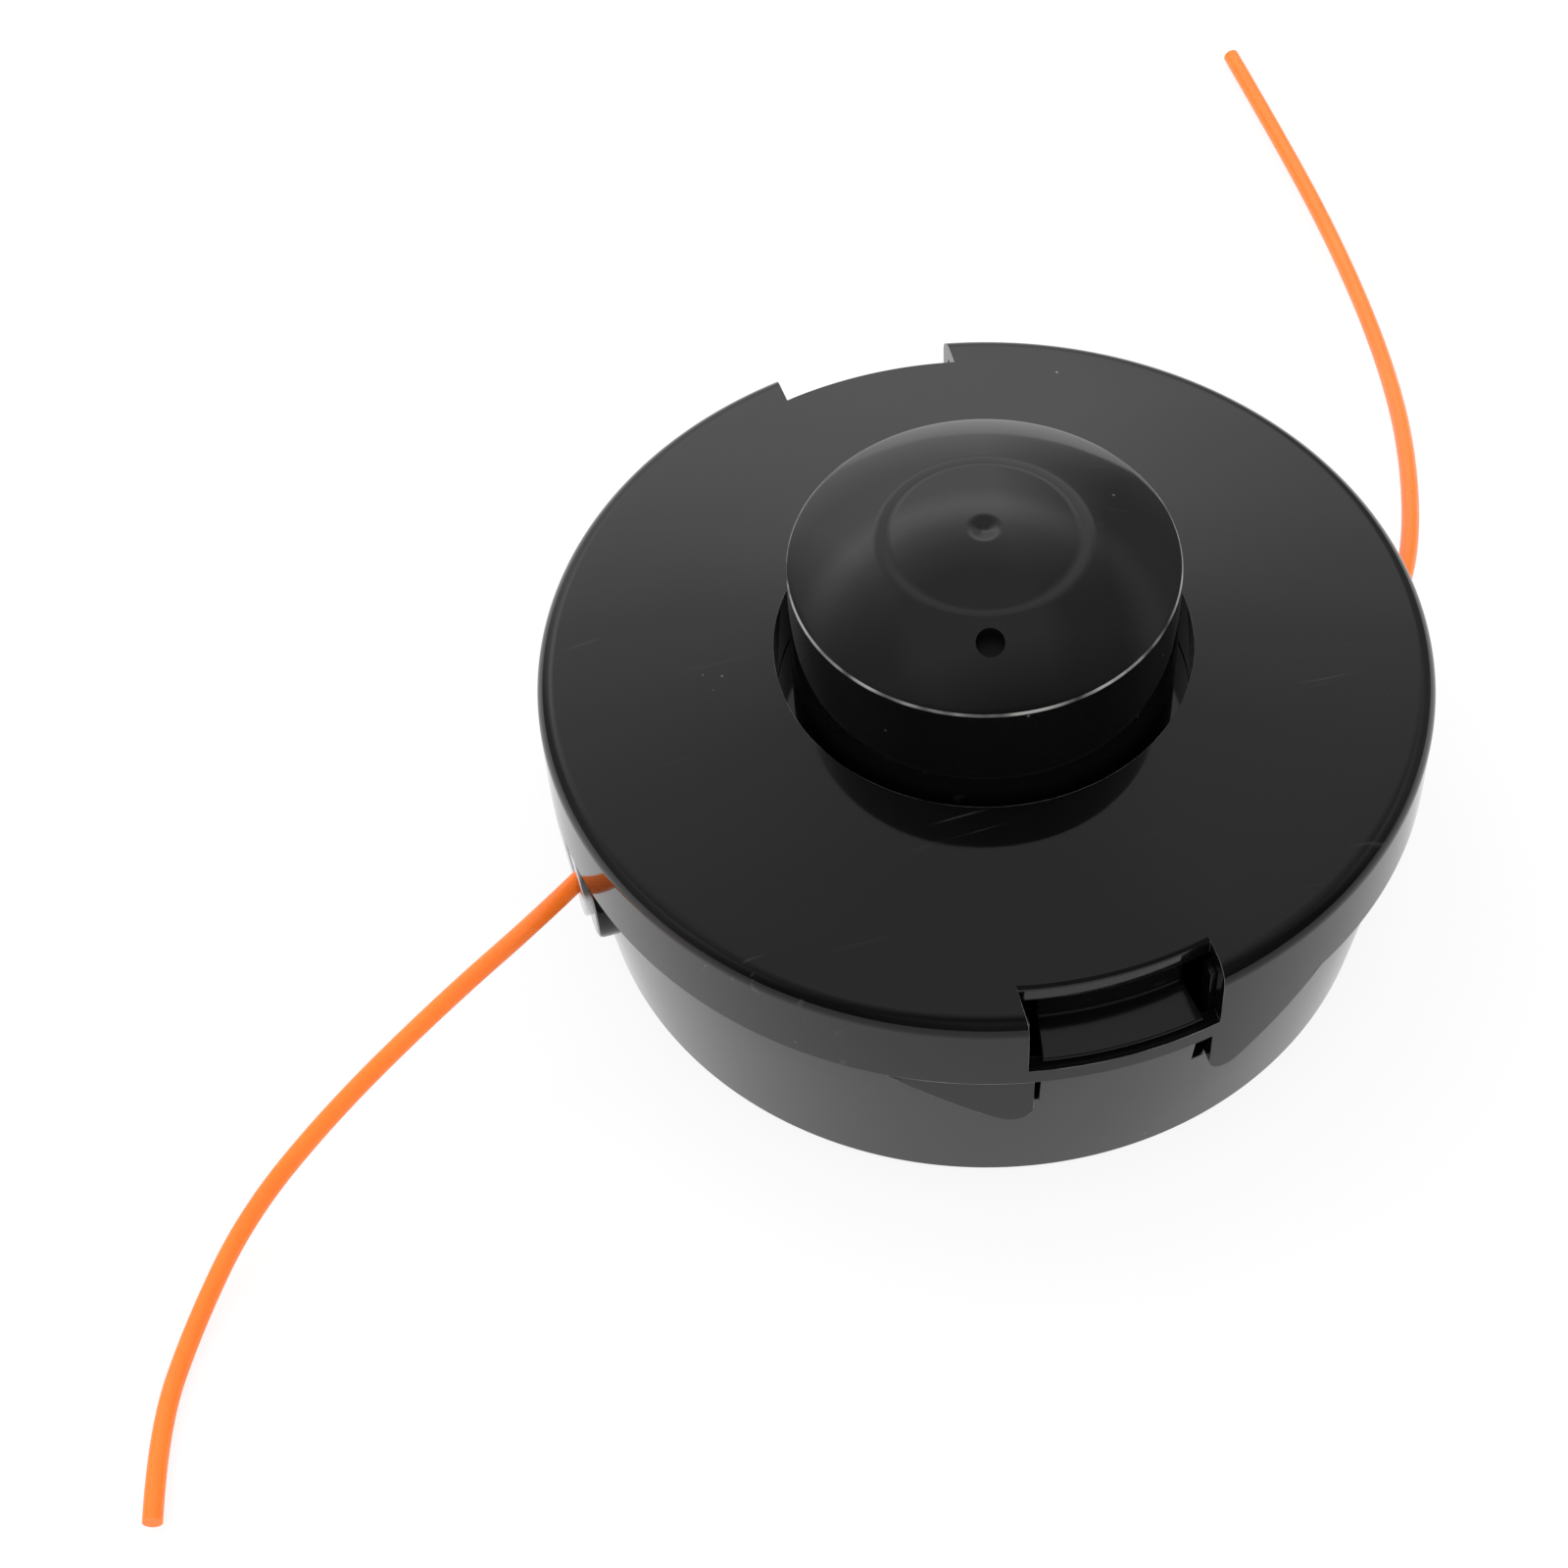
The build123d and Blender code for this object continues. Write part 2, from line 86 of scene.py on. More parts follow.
def drum_radius(height):
    """Outer radius of the tapered drum at a height."""
    return foot_radius + (shoulder_radius - foot_radius) * height / shoulder_height


def rounded(before, corner, after, size, steps=6):
    """Points of the arc that rounds a section's corner between its two neighbours."""
    middle = Vector(corner)
    first = (Vector(before) - middle).normalized()
    last = (Vector(after) - middle).normalized()
    half = first.angle(last) / 2
    centre = middle + (first + last).normalized() * size / sin(half)
    start = middle + first * size / tan(half) - centre
    sweep = start.angle_signed(middle + last * size / tan(half) - centre)
    return [tuple(centre + Matrix.Rotation(-sweep * step / steps, 2) @ start) for step in range(steps + 1)]


def turned(spans, caps=()):
    """A moulding turned round the axis, span by span.

    A span is (first, last, steps, loops): first and last give the angle of its edges at a radius, and
    each loop is a closed run of (radius, height) points. A cap closes a loop of points at one edge.
    """
    shape = bmesh.new()
    for first, last, steps, loops in spans:
        for loop in loops:
            rows = []
            for step in range(steps + 1):
                share = step / steps
                row = []
                for radius, height in loop:
                    angle = first(radius) * (1 - share) + last(radius) * share
                    row.append(shape.verts.new((radius * cos(angle), radius * sin(angle), height)))
                rows.append(row)
            for row, after in zip(rows, rows[1:]):
                for index in range(len(loop)):
                    shape.faces.new((row[index - 1], after[index - 1], after[index], row[index]))
    for edge, loop in caps:
        corners = []
        for radius, height in loop:
            corners.append(shape.verts.new((radius * cos(edge(radius)), radius * sin(edge(radius)), height)))
        shape.faces.new(corners)
    bmesh.ops.remove_doubles(shape, verts=shape.verts, dist=1e-6)
    bmesh.ops.recalc_face_normals(shape, faces=shape.faces)
    return shape


def stadium(width, height, steps=16):
    """Outline of a slot with round ends, as points about its centre."""
    reach = (width - height) / 2
    points = []
    for side, start in ((1, -pi / 2), (-1, pi / 2)):
        for step in range(steps + 1):
            angle = start + pi * step / steps
            points.append((side * reach + height / 2 * cos(angle), height / 2 * sin(angle)))
    return points


def prism(outline, place):
    """Closed solid between an outline's near and far copies; place says where a point (u, v, w) goes."""
    shape = bmesh.new()
    near = [shape.verts.new(place(u, v, 0)) for u, v in outline]
    far = [shape.verts.new(place(u, v, 1)) for u, v in outline]
    shape.faces.new(near)
    shape.faces.new(far)
    for index in range(len(outline)):
        shape.faces.new((near[index - 1], far[index - 1], far[index], near[index]))
    bmesh.ops.recalc_face_normals(shape, faces=shape.faces)
    return shape


def plain_object(name, shape):
    """Scene object from a bmesh or a mesh."""
    mesh = shape
    if isinstance(shape, bmesh.types.BMesh):
        mesh = bpy.data.meshes.new(name)
        shape.to_mesh(mesh)
        shape.free()
    piece = bpy.data.objects.new(name, mesh)
    bpy.context.scene.collection.objects.link(piece)
    return piece


def evaluated_mesh(piece):
    """Plain mesh of an object with its modifiers applied; the object is taken away."""
    graph = bpy.context.evaluated_depsgraph_get()
    mesh = bpy.data.meshes.new_from_object(piece.evaluated_get(graph), depsgraph=graph)
    bpy.data.objects.remove(piece)
    return mesh


def edged(shape, width, cutters=(), highlit_edges=0):
    """Mesh of a solid with rounded edges, less the cutters; when the edge flag is 1 the rounds take its
    second material, a painted highlight.
    """
    piece = plain_object("solid", shape)
    piece.data.materials.append(None)
    piece.data.materials.append(None)
    bevel = piece.modifiers.new("edges", "BEVEL")
    bevel.material = highlit_edges
    bevel.width = width
    bevel.segments = 2
    bevel.limit_method = "ANGLE"
    bevel.angle_limit = sharp_angle
    tools = [plain_object("cutter", cutter) for cutter in cutters]
    for tool in tools:
        cut = piece.modifiers.new("cut", "BOOLEAN")
        cut.operation = "DIFFERENCE"
        cut.solver = "EXACT"
        cut.object = tool
    mesh = evaluated_mesh(piece)
    for tool in tools:
        bpy.data.objects.remove(tool)
    return mesh


def moulding(name, meshes, *materials):
    """One finished piece from its meshes, smooth over its faces and crisp at its edges."""
    joined = bmesh.new()
    for mesh in meshes:
        joined.from_mesh(mesh)
    for face in joined.faces:
        face.smooth = True
    for edge in joined.edges:
        edge.smooth = edge.calc_face_angle(pi) < sharp_angle
    piece = plain_object(name, joined)
    piece.modifiers.new("shading", "WEIGHTED_NORMAL").keep_sharp = True
    piece = plain_object(name, evaluated_mesh(piece))
    piece.name = name
    for material in materials:
        piece.data.materials.append(material)
    return piece


def group_sockets(tree, inputs, outputs):
    """Give a node group its sockets: (name, type, default) for an input, (name, type) for an output."""
    for name, kind, value in inputs:
        tree.interface.new_socket(name, in_out="INPUT", socket_type=kind).default_value = value
    for name, kind in outputs:
        tree.interface.new_socket(name, in_out="OUTPUT", socket_type=kind)
    return tree.nodes.new("NodeGroupInput"), tree.nodes.new("NodeGroupOutput")


def math_node(tree, operation, first, second):
    """Maths on two values, each a socket or a number; gives the result's socket."""
    node = tree.nodes.new("ShaderNodeMath")
    node.operation = operation
    for socket, value in zip(node.inputs, (first, second)):
        if isinstance(value, (int, float)):
            socket.default_value = value
        else:
            tree.links.new(value, socket)
    return node.outputs[0]


def grown(tree, sizes):
    """Plain mesh that a geometry tree makes, with the inputs that sizes names set."""
    piece = plain_object(tree.name, bpy.data.meshes.new(tree.name))
    maker = piece.modifiers.new("maker", "NODES")
    maker.node_group = tree
    for socket in tree.interface.items_tree:
        if socket.in_out == "INPUT" and socket.name.lower() in sizes:
            maker[socket.identifier] = sizes[socket.name.lower()]
    return evaluated_mesh(piece)


ring_tree = bpy.data.node_groups.new("ring_of_blocks", "GeometryNodeTree")
ring_in, ring_out = group_sockets(
    ring_tree,
    [
        ("Count", "NodeSocketInt", 6),
        ("Inner", "NodeSocketFloat", 0.031),
        ("Outer", "NodeSocketFloat", 0.041),
        ("Width", "NodeSocketFloat", 0.005),
        ("Wedge", "NodeSocketFloat", 0.0),
        ("Bottom", "NodeSocketFloat", 0.0),
        ("Top", "NodeSocketFloat", 0.002),
        ("Turn", "NodeSocketFloat", 0.0),
    ],
    [("Geometry", "NodeSocketGeometry")],
)
ring_inner, ring_outer = ring_in.outputs["Inner"], ring_in.outputs["Outer"]
ring_bottom, ring_top = ring_in.outputs["Bottom"], ring_in.outputs["Top"]
block_size = ring_tree.nodes.new("ShaderNodeCombineXYZ")
ring_tree.links.new(math_node(ring_tree, "SUBTRACT", ring_outer, ring_inner), block_size.inputs[0])
ring_tree.links.new(ring_in.outputs["Width"], block_size.inputs[1])
ring_tree.links.new(math_node(ring_tree, "SUBTRACT", ring_top, ring_bottom), block_size.inputs[2])
block = ring_tree.nodes.new("GeometryNodeMeshCube")
ring_tree.links.new(block_size.outputs[0], block.inputs["Size"])
mid_radius = math_node(ring_tree, "MULTIPLY", math_node(ring_tree, "ADD", ring_outer, ring_inner), 0.5)
mid_height = math_node(ring_tree, "MULTIPLY", math_node(ring_tree, "ADD", ring_top, ring_bottom), 0.5)
block_point = ring_tree.nodes.new("GeometryNodeInputPosition")
block_axes = ring_tree.nodes.new("ShaderNodeSeparateXYZ")
ring_tree.links.new(block_point.outputs[0], block_axes.inputs[0])
flare = math_node(ring_tree, "DIVIDE", block_axes.outputs[0], mid_radius)
flare = math_node(ring_tree, "MULTIPLY", flare, ring_in.outputs["Wedge"])
flare = math_node(ring_tree, "ADD", flare, 1.0)
block_spot = ring_tree.nodes.new("ShaderNodeCombineXYZ")
ring_tree.links.new(math_node(ring_tree, "ADD", block_axes.outputs[0], mid_radius), block_spot.inputs[0])
ring_tree.links.new(math_node(ring_tree, "MULTIPLY", block_axes.outputs[1], flare), block_spot.inputs[1])
ring_tree.links.new(math_node(ring_tree, "ADD", block_axes.outputs[2], mid_height), block_spot.inputs[2])
block_moved = ring_tree.nodes.new("GeometryNodeSetPosition")
ring_tree.links.new(block.outputs["Mesh"], block_moved.inputs["Geometry"])
ring_tree.links.new(block_spot.outputs[0], block_moved.inputs["Position"])
ring_points = ring_tree.nodes.new("GeometryNodePoints")
ring_tree.links.new(ring_in.outputs["Count"], ring_points.inputs["Count"])
ring_index = ring_tree.nodes.new("GeometryNodeInputIndex")
ring_pitch = math_node(ring_tree, "DIVIDE", 2 * pi, ring_in.outputs["Count"])
block_angle = math_node(ring_tree, "MULTIPLY", ring_index.outputs[0], ring_pitch)
block_angle = math_node(ring_tree, "ADD", block_angle, ring_in.outputs["Turn"])
block_turn = ring_tree.nodes.new("ShaderNodeCombineXYZ")
ring_tree.links.new(block_angle, block_turn.inputs[2])
ring_copies = ring_tree.nodes.new("GeometryNodeInstanceOnPoints")
ring_tree.links.new(ring_points.outputs[0], ring_copies.inputs["Points"])
ring_tree.links.new(block_moved.outputs[0], ring_copies.inputs["Instance"])
ring_tree.links.new(block_turn.outputs[0], ring_copies.inputs["Rotation"])
ring_real = ring_tree.nodes.new("GeometryNodeRealizeInstances")
ring_tree.links.new(ring_copies.outputs[0], ring_real.inputs[0])
ring_finish = ring_tree.nodes.new("GeometryNodeSetMaterial")
ring_tree.links.new(ring_real.outputs[0], ring_finish.inputs["Geometry"])
ring_tree.links.new(ring_finish.outputs[0], ring_out.inputs[0])


def ring_of_blocks(**sizes):
    """Mesh of a ring of moulded blocks round the axis, such as ribs or dogs."""
    shape = bmesh.new()
    shape.from_mesh(grown(ring_tree, sizes))
    return edged(shape, moulded_edge)


# The black nylon's shared looks: a faint ripple where the melt cooled, fine hairline marks from
# handling and a few pale specks of dust. Each moulding sets how much of them it shows.
skin_group = bpy.data.node_groups.new("moulded_skin", "ShaderNodeTree")
skin_in, skin_out = group_sockets(
    skin_group,
    [
        ("Gloss", "NodeSocketFloat", 0.08),
        ("Marks", "NodeSocketFloat", 0.5),
        ("Specks", "NodeSocketFloat", 0.5),
    ],
    [("Tone", "NodeSocketColor"), ("Roughness", "NodeSocketFloat"), ("Height", "NodeSocketFloat")],
)
skin_place = skin_group.nodes.new("ShaderNodeTexCoord")


def noise_node(tree, place, scale, detail=2.0, stretch=None):
    """Noise on Object coordinates, stretched along an axis where asked; gives the value's socket."""
    noise = tree.nodes.new("ShaderNodeTexNoise")
    noise.inputs["Scale"].default_value = scale
    noise.inputs["Detail"].default_value = detail
    if stretch:
        mapping = tree.nodes.new("ShaderNodeMapping")
        mapping.inputs["Scale"].default_value = stretch
        mapping.inputs["Rotation"].default_value = (0, 0, radians(24))
        tree.links.new(place.outputs["Object"], mapping.inputs["Vector"])
        tree.links.new(mapping.outputs[0], noise.inputs["Vector"])
    else:
        tree.links.new(place.outputs["Object"], noise.inputs["Vector"])
    return noise.outputs[0]


def ramp_node(tree, value, low, high, out_low=0.0, out_high=1.0):
    """Value stretched from one range to another and held there; gives the result's socket."""
    ramp = tree.nodes.new("ShaderNodeMapRange")
    tree.links.new(value, ramp.inputs["Value"])
    for name, number in (("From Min", low), ("From Max", high), ("To Min", out_low), ("To Max", out_high)):
        ramp.inputs[name].default_value = number
    return ramp.outputs[0]


hairlines = ramp_node(skin_group, noise_node(skin_group, skin_place, 900, 3, (0.05, 1.0, 0.4)), 0.66, 0.74)
patches = ramp_node(skin_group, noise_node(skin_group, skin_place, 45, 2), 0.52, 0.68)
marks = math_node(skin_group, "MULTIPLY", hairlines, patches)
marks = math_node(skin_group, "MULTIPLY", marks, skin_in.outputs["Marks"])
dots = skin_group.nodes.new("ShaderNodeTexVoronoi")
dots.inputs["Scale"].default_value = 420
skin_group.links.new(skin_place.outputs["Object"], dots.inputs["Vector"])
sparse = ramp_node(skin_group, noise_node(skin_group, skin_place, 150, 1), 0.66, 0.70)
dust = ramp_node(skin_group, dots.outputs["Distance"], 0.10, 0.05)
dust = math_node(skin_group, "MULTIPLY", dust, sparse)
dust = math_node(skin_group, "MULTIPLY", dust, skin_in.outputs["Specks"])
tone = skin_group.nodes.new("ShaderNodeMix")
tone.data_type = "RGBA"
tone.inputs["A"].default_value = (0.0028, 0.0028, 0.0031, 1)
tone.inputs["B"].default_value = (0.30, 0.29, 0.28, 1)
paled = math_node(skin_group, "ADD", math_node(skin_group, "MULTIPLY", marks, 0.10), dust)
skin_group.links.new(paled, tone.inputs["Factor"])
skin_group.links.new(tone.outputs["Result"], skin_out.inputs["Tone"])
clouded = ramp_node(skin_group, noise_node(skin_group, skin_place, 60, 4), 0.35, 0.70, 0.0, 0.030)
rough = math_node(skin_group, "ADD", skin_in.outputs["Gloss"], clouded)
rough = math_node(skin_group, "ADD", rough, math_node(skin_group, "MULTIPLY", marks, 0.25))
skin_group.links.new(rough, skin_out.inputs["Roughness"])
ripple = math_node(skin_group, "MULTIPLY", noise_node(skin_group, skin_place, 38, 1), 0.7)
peel = math_node(skin_group, "MULTIPLY", noise_node(skin_group, skin_place, 420, 2), 0.018)
relief = math_node(skin_group, "ADD", ripple, peel)
relief = math_node(skin_group, "SUBTRACT", relief, math_node(skin_group, "MULTIPLY", marks, 0.02))
skin_group.links.new(relief, skin_out.inputs["Height"])


def black_nylon(name, gloss, marks, specks):
    """Glossy black moulded nylon."""
    material = bpy.data.materials.new(name)
    material.use_nodes = True
    tree = material.node_tree
    surface = tree.nodes["Principled BSDF"]
    skin = tree.nodes.new("ShaderNodeGroup")
    skin.node_tree = skin_group
    for socket, value in (("Gloss", gloss), ("Marks", marks), ("Specks", specks)):
        skin.inputs[socket].default_value = value
    tree.links.new(skin.outputs["Tone"], surface.inputs["Base Color"])
    tree.links.new(skin.outputs["Roughness"], surface.inputs["Roughness"])
    bump = tree.nodes.new("ShaderNodeBump")
    bump.inputs["Strength"].default_value = 0.25
    bump.inputs["Distance"].default_value = 0.0006
    tree.links.new(skin.outputs["Height"], bump.inputs["Height"])
    tree.links.new(bump.outputs[0], surface.inputs["Normal"])
    surface.inputs["IOR"].default_value = 1.48
    return material


housing_plastic = black_nylon("housing_nylon", gloss=0.10, marks=0.4, specks=0.3)

# Painted highlight: this material gives the rounded edges of the pads, the cover and the knob a paler grey,
# patchy by noise. It stands in for the bright lines where light catches those edges.
painted_edge_highlight = black_nylon("painted_edge_highlight", gloss=0.30, marks=1.0, specks=0.0)
edge_tree = painted_edge_highlight.node_tree
edge_tone = edge_tree.nodes.new("ShaderNodeMix")
edge_tone.data_type = "RGBA"
edge_tone.inputs["A"].default_value = (0.010, 0.010, 0.010, 1)
edge_tone.inputs["B"].default_value = (0.26, 0.26, 0.25, 1)
edge_highlight_patches = noise_node(edge_tree, edge_tree.nodes.new("ShaderNodeTexCoord"), 160, 3)
edge_tree.links.new(ramp_node(edge_tree, edge_highlight_patches, 0.36, 0.60), edge_tone.inputs["Factor"])
edge_tree.links.new(edge_tone.outputs["Result"], edge_tree.nodes["Principled BSDF"].inputs["Base Color"])

wall_slope = (rim_inner - drum_radius(floor_top) + drum_wall) / (shoulder_height - drum_wall - floor_top)
inner_at_slit = (drum_radius(floor_top) - drum_wall + wall_slope * (slit_bottom - floor_top), slit_bottom)
outer_at_slit = (drum_radius(slit_bottom), slit_bottom)
foot_corner = rounded(outer_at_slit, (foot_radius, 0), (foot_radius - drum_wall, 0), foot_round)
lower_run = [outer_at_slit, *foot_corner]
lower_run += [
    (foot_radius - drum_wall, 0),
    (drum_radius(floor_bottom) - drum_wall, floor_bottom),
    (hub_radius, floor_bottom),
    (hub_radius, hub_bottom),
    (post_bore, hub_bottom),
    (post_bore, post_bore_top),
    (0, post_bore_top),
    (0, post_top),
    (post_radius, post_top),
    (post_radius, seat_top),
    (seat_radius, seat_top),
    (seat_radius, floor_top),
    (drum_radius(floor_top) - drum_wall, floor_top),
    inner_at_slit,
]
rim_run = [
    (rim_inner, shoulder_height - drum_wall),
    (rim_inner, rim_top),
    (rim_radius, rim_top),
    (rim_radius, shoulder_height),
    (shoulder_radius, shoulder_height),
]
tongue_run = [
    (rim_inner, shoulder_height - drum_wall),
    (panel_radius - panel_wall, hook_bottom),
    (panel_radius - panel_wall, rim_top),
    (panel_radius, rim_top),
    (panel_radius, hook_top),
    (hook_radius, hook_tip),
    (hook_radius, hook_bottom),
    (rim_radius, hook_bottom),
    (rim_radius, shoulder_height),
    (shoulder_radius, shoulder_height),
]


def edge_at(turn, half_width, least_radius):
    """Angle of a straight edge that runs outward beside a turn, half_width away from its middle."""
    return lambda radius: turn + asin(half_width / max(radius, least_radius))


drum_spans, drum_caps = [], []
for latch_turn in latch_turns:
    tongue_first = lambda radius, turn=latch_turn: turn - tongue_half_angle
    tongue_last = lambda radius, turn=latch_turn: turn + tongue_half_angle
    slit_first = edge_at(latch_turn, -slit_edge, slit_depth)
    slit_last = edge_at(latch_turn, slit_edge, slit_depth)
    next_slit = edge_at(latch_turn + pi, -slit_edge, slit_depth)
    drum_spans += [
        (tongue_first, tongue_last, 14, [lower_run + tongue_run]),
        (tongue_last, slit_last, 1, [lower_run]),
        (slit_first, tongue_first, 1, [lower_run]),
        (slit_last, next_slit, 96, [lower_run + rim_run]),
    ]
    drum_caps += [(edge, [inner_at_slit, *tongue_run, outer_at_slit]) for edge in (tongue_first, tongue_last)]
    drum_caps += [(edge, [inner_at_slit, *rim_run, outer_at_slit]) for edge in (slit_first, slit_last)]
pocket_corner = nut_pocket_flats / sqrt(3)
hex_turns = [pi / 3 * corner for corner in range(6)]
hex_outline = [(pocket_corner * cos(turn), pocket_corner * sin(turn)) for turn in hex_turns]
drum_cutters = [prism(hex_outline, lambda u, v, w: (u, v, nut_pocket_top * w))]
for side in (1, -1):
    drum_cutters.append(
        prism(
            stadium(eyelet_hole_width, eyelet_hole_height),
            lambda u, v, w, side=side: (side * (slit_depth + eyelet_cut * w), u, eyelet_height + v),
        )
    )
housing_meshes = [edged(turned(drum_spans, drum_caps), moulded_edge, drum_cutters)]

pad_steps = 25
pad_tip = (pad_outer, shoulder_height)
pad_low = rounded((slit_edge, shoulder_height), (slit_edge, pad_bottom), pad_tip, pad_round, 10)
pad_slope = Vector(pad_low[-1])
pad_low += [tuple(pad_slope.lerp(Vector(pad_tip), step / pad_steps)) for step in range(1, pad_steps)]
# Raised pads beside each latch tongue; their rounded edges take the painted edge highlight.
for latch_turn in latch_turns:
    for side in (1, -1):
        pad = bmesh.new()
        columns = []
        for across, low in pad_low:
            column = []
            outside = ((pad_radius, low), (pad_radius, shoulder_height))
            inside = ((rim_inner, shoulder_height), (rim_inner, low))
            for radius, height in outside + inside:
                flat = Vector((sqrt(radius**2 - across**2), side * across, height))
                column.append(pad.verts.new(Matrix.Rotation(latch_turn, 3, "Z") @ flat))
            columns.append(column)
        pad.faces.new(columns[0])
        pad.faces.new(columns[-1])
        for column, after in zip(columns, columns[1:]):
            for index in range(len(column)):
                pad.faces.new((column[index - 1], after[index - 1], after[index], column[index]))
        bmesh.ops.remove_doubles(pad, verts=pad.verts, dist=1e-6)
        bmesh.ops.recalc_face_normals(pad, faces=pad.faces)
        housing_meshes.append(edged(pad, moulded_edge, highlit_edges=1))
for side in (1, -1):
    boss = bmesh.new()
    loops = []
    for reach, outline in (
        (boss_reach, stadium(boss_width, boss_height)),
        (rim_inner, stadium(boss_width, boss_height)),
        (rim_inner, stadium(eyelet_hole_width, eyelet_hole_height)),
        (boss_reach, stadium(eyelet_hole_width, eyelet_hole_height)),
    ):
        loops.append([boss.verts.new((side * reach, u, eyelet_height + v)) for u, v in outline])
    for loop, after in zip(loops, loops[1:] + loops[:1]):
        for index in range(len(loop)):
            boss.faces.new((loop[index - 1], after[index - 1], after[index], loop[index]))
    bmesh.ops.recalc_face_normals(boss, faces=boss.faces)
    housing_meshes.append(edged(boss, boss_edge))
underside_ribs = dict(count=12, inner=0.0128, outer=0.0488, width=0.0018, bottom=0.0012, top=0.0060)
dog_ring = dict(count=6, inner=0.031, outer=0.041, width=0.00503, wedge=1.0)
floor_dogs = dict(dog_ring, bottom=0.0075, top=0.0100)
housing_meshes += [ring_of_blocks(**blocks) for blocks in (underside_ribs, floor_dogs)]
housing = moulding("drum_housing", housing_meshes, housing_plastic, painted_edge_highlight)
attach(housing, "housing_body")
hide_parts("housing")

# Drive nut: a zinc-plated steel hexagon pressed into the hub's pocket from below. Its left-hand
# thread takes the trimmer's spindle; the thread shows as a fine ridge inside the plain bore.
thread_radius, thread_pitch, thread_depth = 0.00432, 0.00125, 0.00032
thread_bottom, thread_top = 0.0016, 0.0096


def worn_metal(name, colour, roughness, grain):
    """Bare or plated metal with drawn grain and cloudy tone."""
    material = bpy.data.materials.new(name)
    material.use_nodes = True
    tree = material.node_tree
    surface = tree.nodes["Principled BSDF"]
    place = tree.nodes.new("ShaderNodeTexCoord")
    cloud = noise_node(tree, place, 260, 4)
    shade = tree.nodes.new("ShaderNodeMix")
    shade.data_type = "RGBA"
    shade.inputs["A"].default_value = (*(channel * 0.72 for channel in colour), 1)
    shade.inputs["B"].default_value = (*colour, 1)
    tree.links.new(cloud, shade.inputs["Factor"])
    tree.links.new(shade.outputs["Result"], surface.inputs["Base Color"])
    tree.links.new(ramp_node(tree, cloud, 0.3, 0.7, roughness, roughness + 0.18), surface.inputs["Roughness"])
    bump = tree.nodes.new("ShaderNodeBump")
    bump.inputs["Strength"].default_value = grain
    bump.inputs["Distance"].default_value = 0.00005
    tree.links.new(noise_node(tree, place, 2600, 2, (1.0, 0.12, 1.0)), bump.inputs["Height"])
    tree.links.new(bump.outputs[0], surface.inputs["Normal"])
    surface.inputs["Metallic"].default_value = 1.0
    return material


def dress(node, material):
    """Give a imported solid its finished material."""
    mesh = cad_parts[node].data
    mesh.materials.clear()
    mesh.materials.append(material)


nut_steel = worn_metal("zinc_plated_nut", (0.62, 0.60, 0.55), 0.28, 0.25)
dress("drive_nut", nut_steel)
coil_tree = bpy.data.node_groups.new("coil", "GeometryNodeTree")
coil_in, coil_out = group_sockets(
    coil_tree,
    [
        ("Radius", "NodeSocketFloat", thread_radius),
        ("Height", "NodeSocketFloat", thread_top - thread_bottom),
        ("Turns", "NodeSocketFloat", (thread_top - thread_bottom) / thread_pitch),
        ("Wire", "NodeSocketFloat", thread_depth),
        ("Sides", "NodeSocketInt", 6),
        ("Reverse", "NodeSocketBool", True),
        ("Material", "NodeSocketMaterial", nut_steel),
    ],
    [("Geometry", "NodeSocketGeometry")],
)
coil_line = coil_tree.nodes.new("GeometryNodeCurveSpiral")
coil_line.inputs["Resolution"].default_value = 48
coil_inlets = (
    ("Rotations", "Turns"),
    ("Start Radius", "Radius"),
    ("End Radius", "Radius"),
    ("Height", "Height"),
    ("Reverse", "Reverse"),
)
for socket, name in coil_inlets:
    coil_tree.links.new(coil_in.outputs[name], coil_line.inputs[socket])
coil_wire = coil_tree.nodes.new("GeometryNodeCurvePrimitiveCircle")
coil_tree.links.new(coil_in.outputs["Sides"], coil_wire.inputs["Resolution"])
coil_tree.links.new(coil_in.outputs["Wire"], coil_wire.inputs["Radius"])
coil_sweep = coil_tree.nodes.new("GeometryNodeCurveToMesh")
coil_sweep.inputs["Fill Caps"].default_value = True
coil_tree.links.new(coil_line.outputs[0], coil_sweep.inputs["Curve"])
coil_tree.links.new(coil_wire.outputs[0], coil_sweep.inputs["Profile Curve"])
coil_real = coil_tree.nodes.new("GeometryNodeRealizeInstances")
coil_tree.links.new(coil_sweep.outputs[0], coil_real.inputs[0])
coil_finish = coil_tree.nodes.new("GeometryNodeSetMaterial")
coil_tree.links.new(coil_in.outputs["Material"], coil_finish.inputs["Material"])
coil_tree.links.new(coil_real.outputs[0], coil_finish.inputs["Geometry"])
coil_tree.links.new(coil_finish.outputs[0], coil_out.inputs[0])


def coil(name, bottom, **sizes):
    """Object made of one coil of wire that winds up round the axis from its bottom."""
    mesh = grown(coil_tree, sizes)
    mesh.transform(Matrix.Translation((0, 0, bottom)))
    return plain_object(name, mesh)


thread = coil("nut_thread", thread_bottom)
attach(thread, "housing_body")

# Eyelets: flanged oblong rings of polished aluminium, pressed into the bosses so that the whipping
# line can't saw through the nylon.
eyelet_metal = worn_metal("eyelet_aluminium", (0.78, 0.78, 0.80), 0.20, 0.15)
for node in ("eyelet_left", "eyelet_right"):
    dress(node, eyelet_metal)

